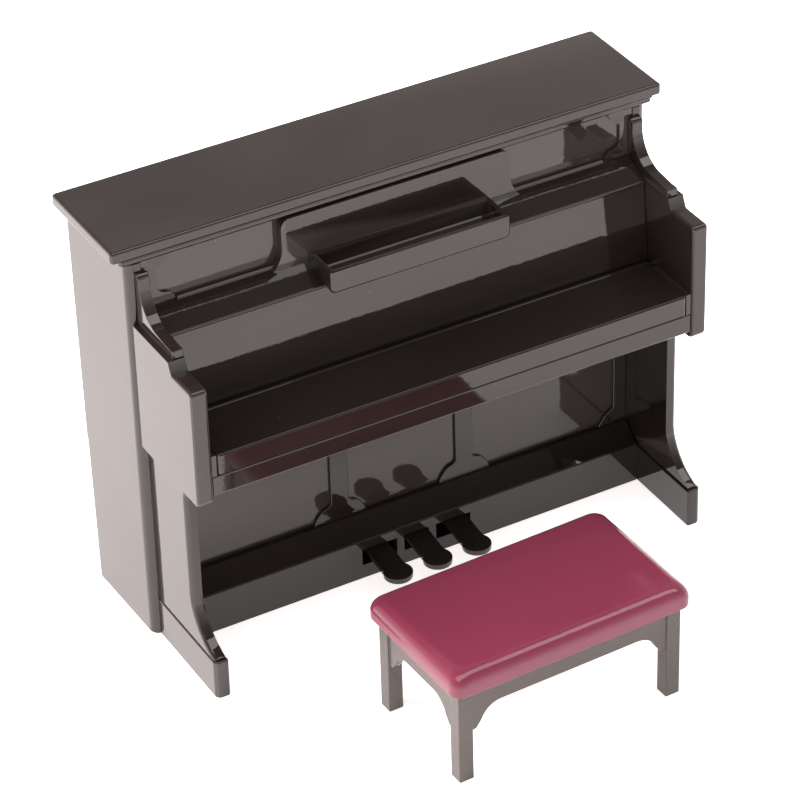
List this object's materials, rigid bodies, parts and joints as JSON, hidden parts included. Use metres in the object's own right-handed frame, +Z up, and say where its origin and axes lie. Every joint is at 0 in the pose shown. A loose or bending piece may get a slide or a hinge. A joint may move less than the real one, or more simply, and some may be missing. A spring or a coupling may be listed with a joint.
{
  "type": "miniature upright piano with bench",
  "caption": "Dolls' house upright piano moulded in glossy dark plastic, with a hinged key lid, sprung pedals, a music tray and a loose padded-look bench.",
  "frame": {"origin": "on the floor under the middle of the piano, in the plane of its front panels", "axes": "+X to the player's right along the piano's width, +Y to the back of the piano, +Z up"},
  "size_m": [0.092, 0.0745, 0.0689],
  "materials": {
    "case_plastic": "glossy moulded",
    "seat_plastic": "glossy moulded",
    "bench_plastic": "satin moulded",
    "key_white": "satin moulded",
    "key_black": "satin moulded"
  },
  "bodies": {
    "piano": {"left_side_panel": "case_plastic", "right_side_panel": "case_plastic", "back_panel": "case_plastic", "bottom_board": "case_plastic", "top_board": "case_plastic", "cornice_moulding": "case_plastic", "left_arm": "case_plastic", "right_arm": "case_plastic", "left_bracket": "case_plastic", "right_bracket": "case_plastic", "left_leg": "case_plastic", "right_leg": "case_plastic", "left_toe_block": "case_plastic", "right_toe_block": "case_plastic", "upper_panel": "case_plastic", "upper_frame": "case_plastic", "centre_plate": "case_plastic", "music_shelf": "case_plastic", "music_tray": "case_plastic", "key_bed": "case_plastic", "key_slip": "case_plastic", "left_key_block": "case_plastic", "right_key_block": "case_plastic", "lower_panel": "case_plastic", "lower_frame": "case_plastic", "bottom_rail": "case_plastic", "pedal_bar": "case_plastic", "white_keys": "key_white", "black_keys": "key_black"},
    "key_lid": {"key_lid": "case_plastic"},
    "pedal_left": {"pedal_left": "case_plastic"},
    "pedal_middle": {"pedal_middle": "case_plastic"},
    "pedal_right": {"pedal_right": "case_plastic"},
    "bench": {"bench_frame": "bench_plastic", "bench_seat": "seat_plastic"}
  },
  "joints": [
    {"name": "key_lid_hinge", "type": "hinge", "parent": "piano", "child": "key_lid", "pos_m": [0, -0.0063, 0.04185], "axis": [-1, 0, 0], "range_deg": [0, 93]},
    {"name": "pedal_left_hinge", "type": "hinge", "parent": "piano", "child": "pedal_left", "pos_m": [-0.00695, 0.0024, 0.0044], "axis": [1, 0, 0], "range_deg": [0, 6], "stiffness_Nm_per_rad": 0.0005, "springref_deg": -5.73},
    {"name": "pedal_middle_hinge", "type": "hinge", "parent": "piano", "child": "pedal_middle", "pos_m": [0, 0.0024, 0.0044], "axis": [1, 0, 0], "range_deg": [0, 6], "stiffness_Nm_per_rad": 0.0005, "springref_deg": -5.73},
    {"name": "pedal_right_hinge", "type": "hinge", "parent": "piano", "child": "pedal_right", "pos_m": [0.00695, 0.0024, 0.0044], "axis": [1, 0, 0], "range_deg": [0, 6], "stiffness_Nm_per_rad": 0.0005, "springref_deg": -5.73},
    {"name": "bench_slide", "type": "slide", "parent": "piano", "child": "bench", "axis": [0, 1, 0], "range_m": [-0.02, 0.024]}
  ]
}
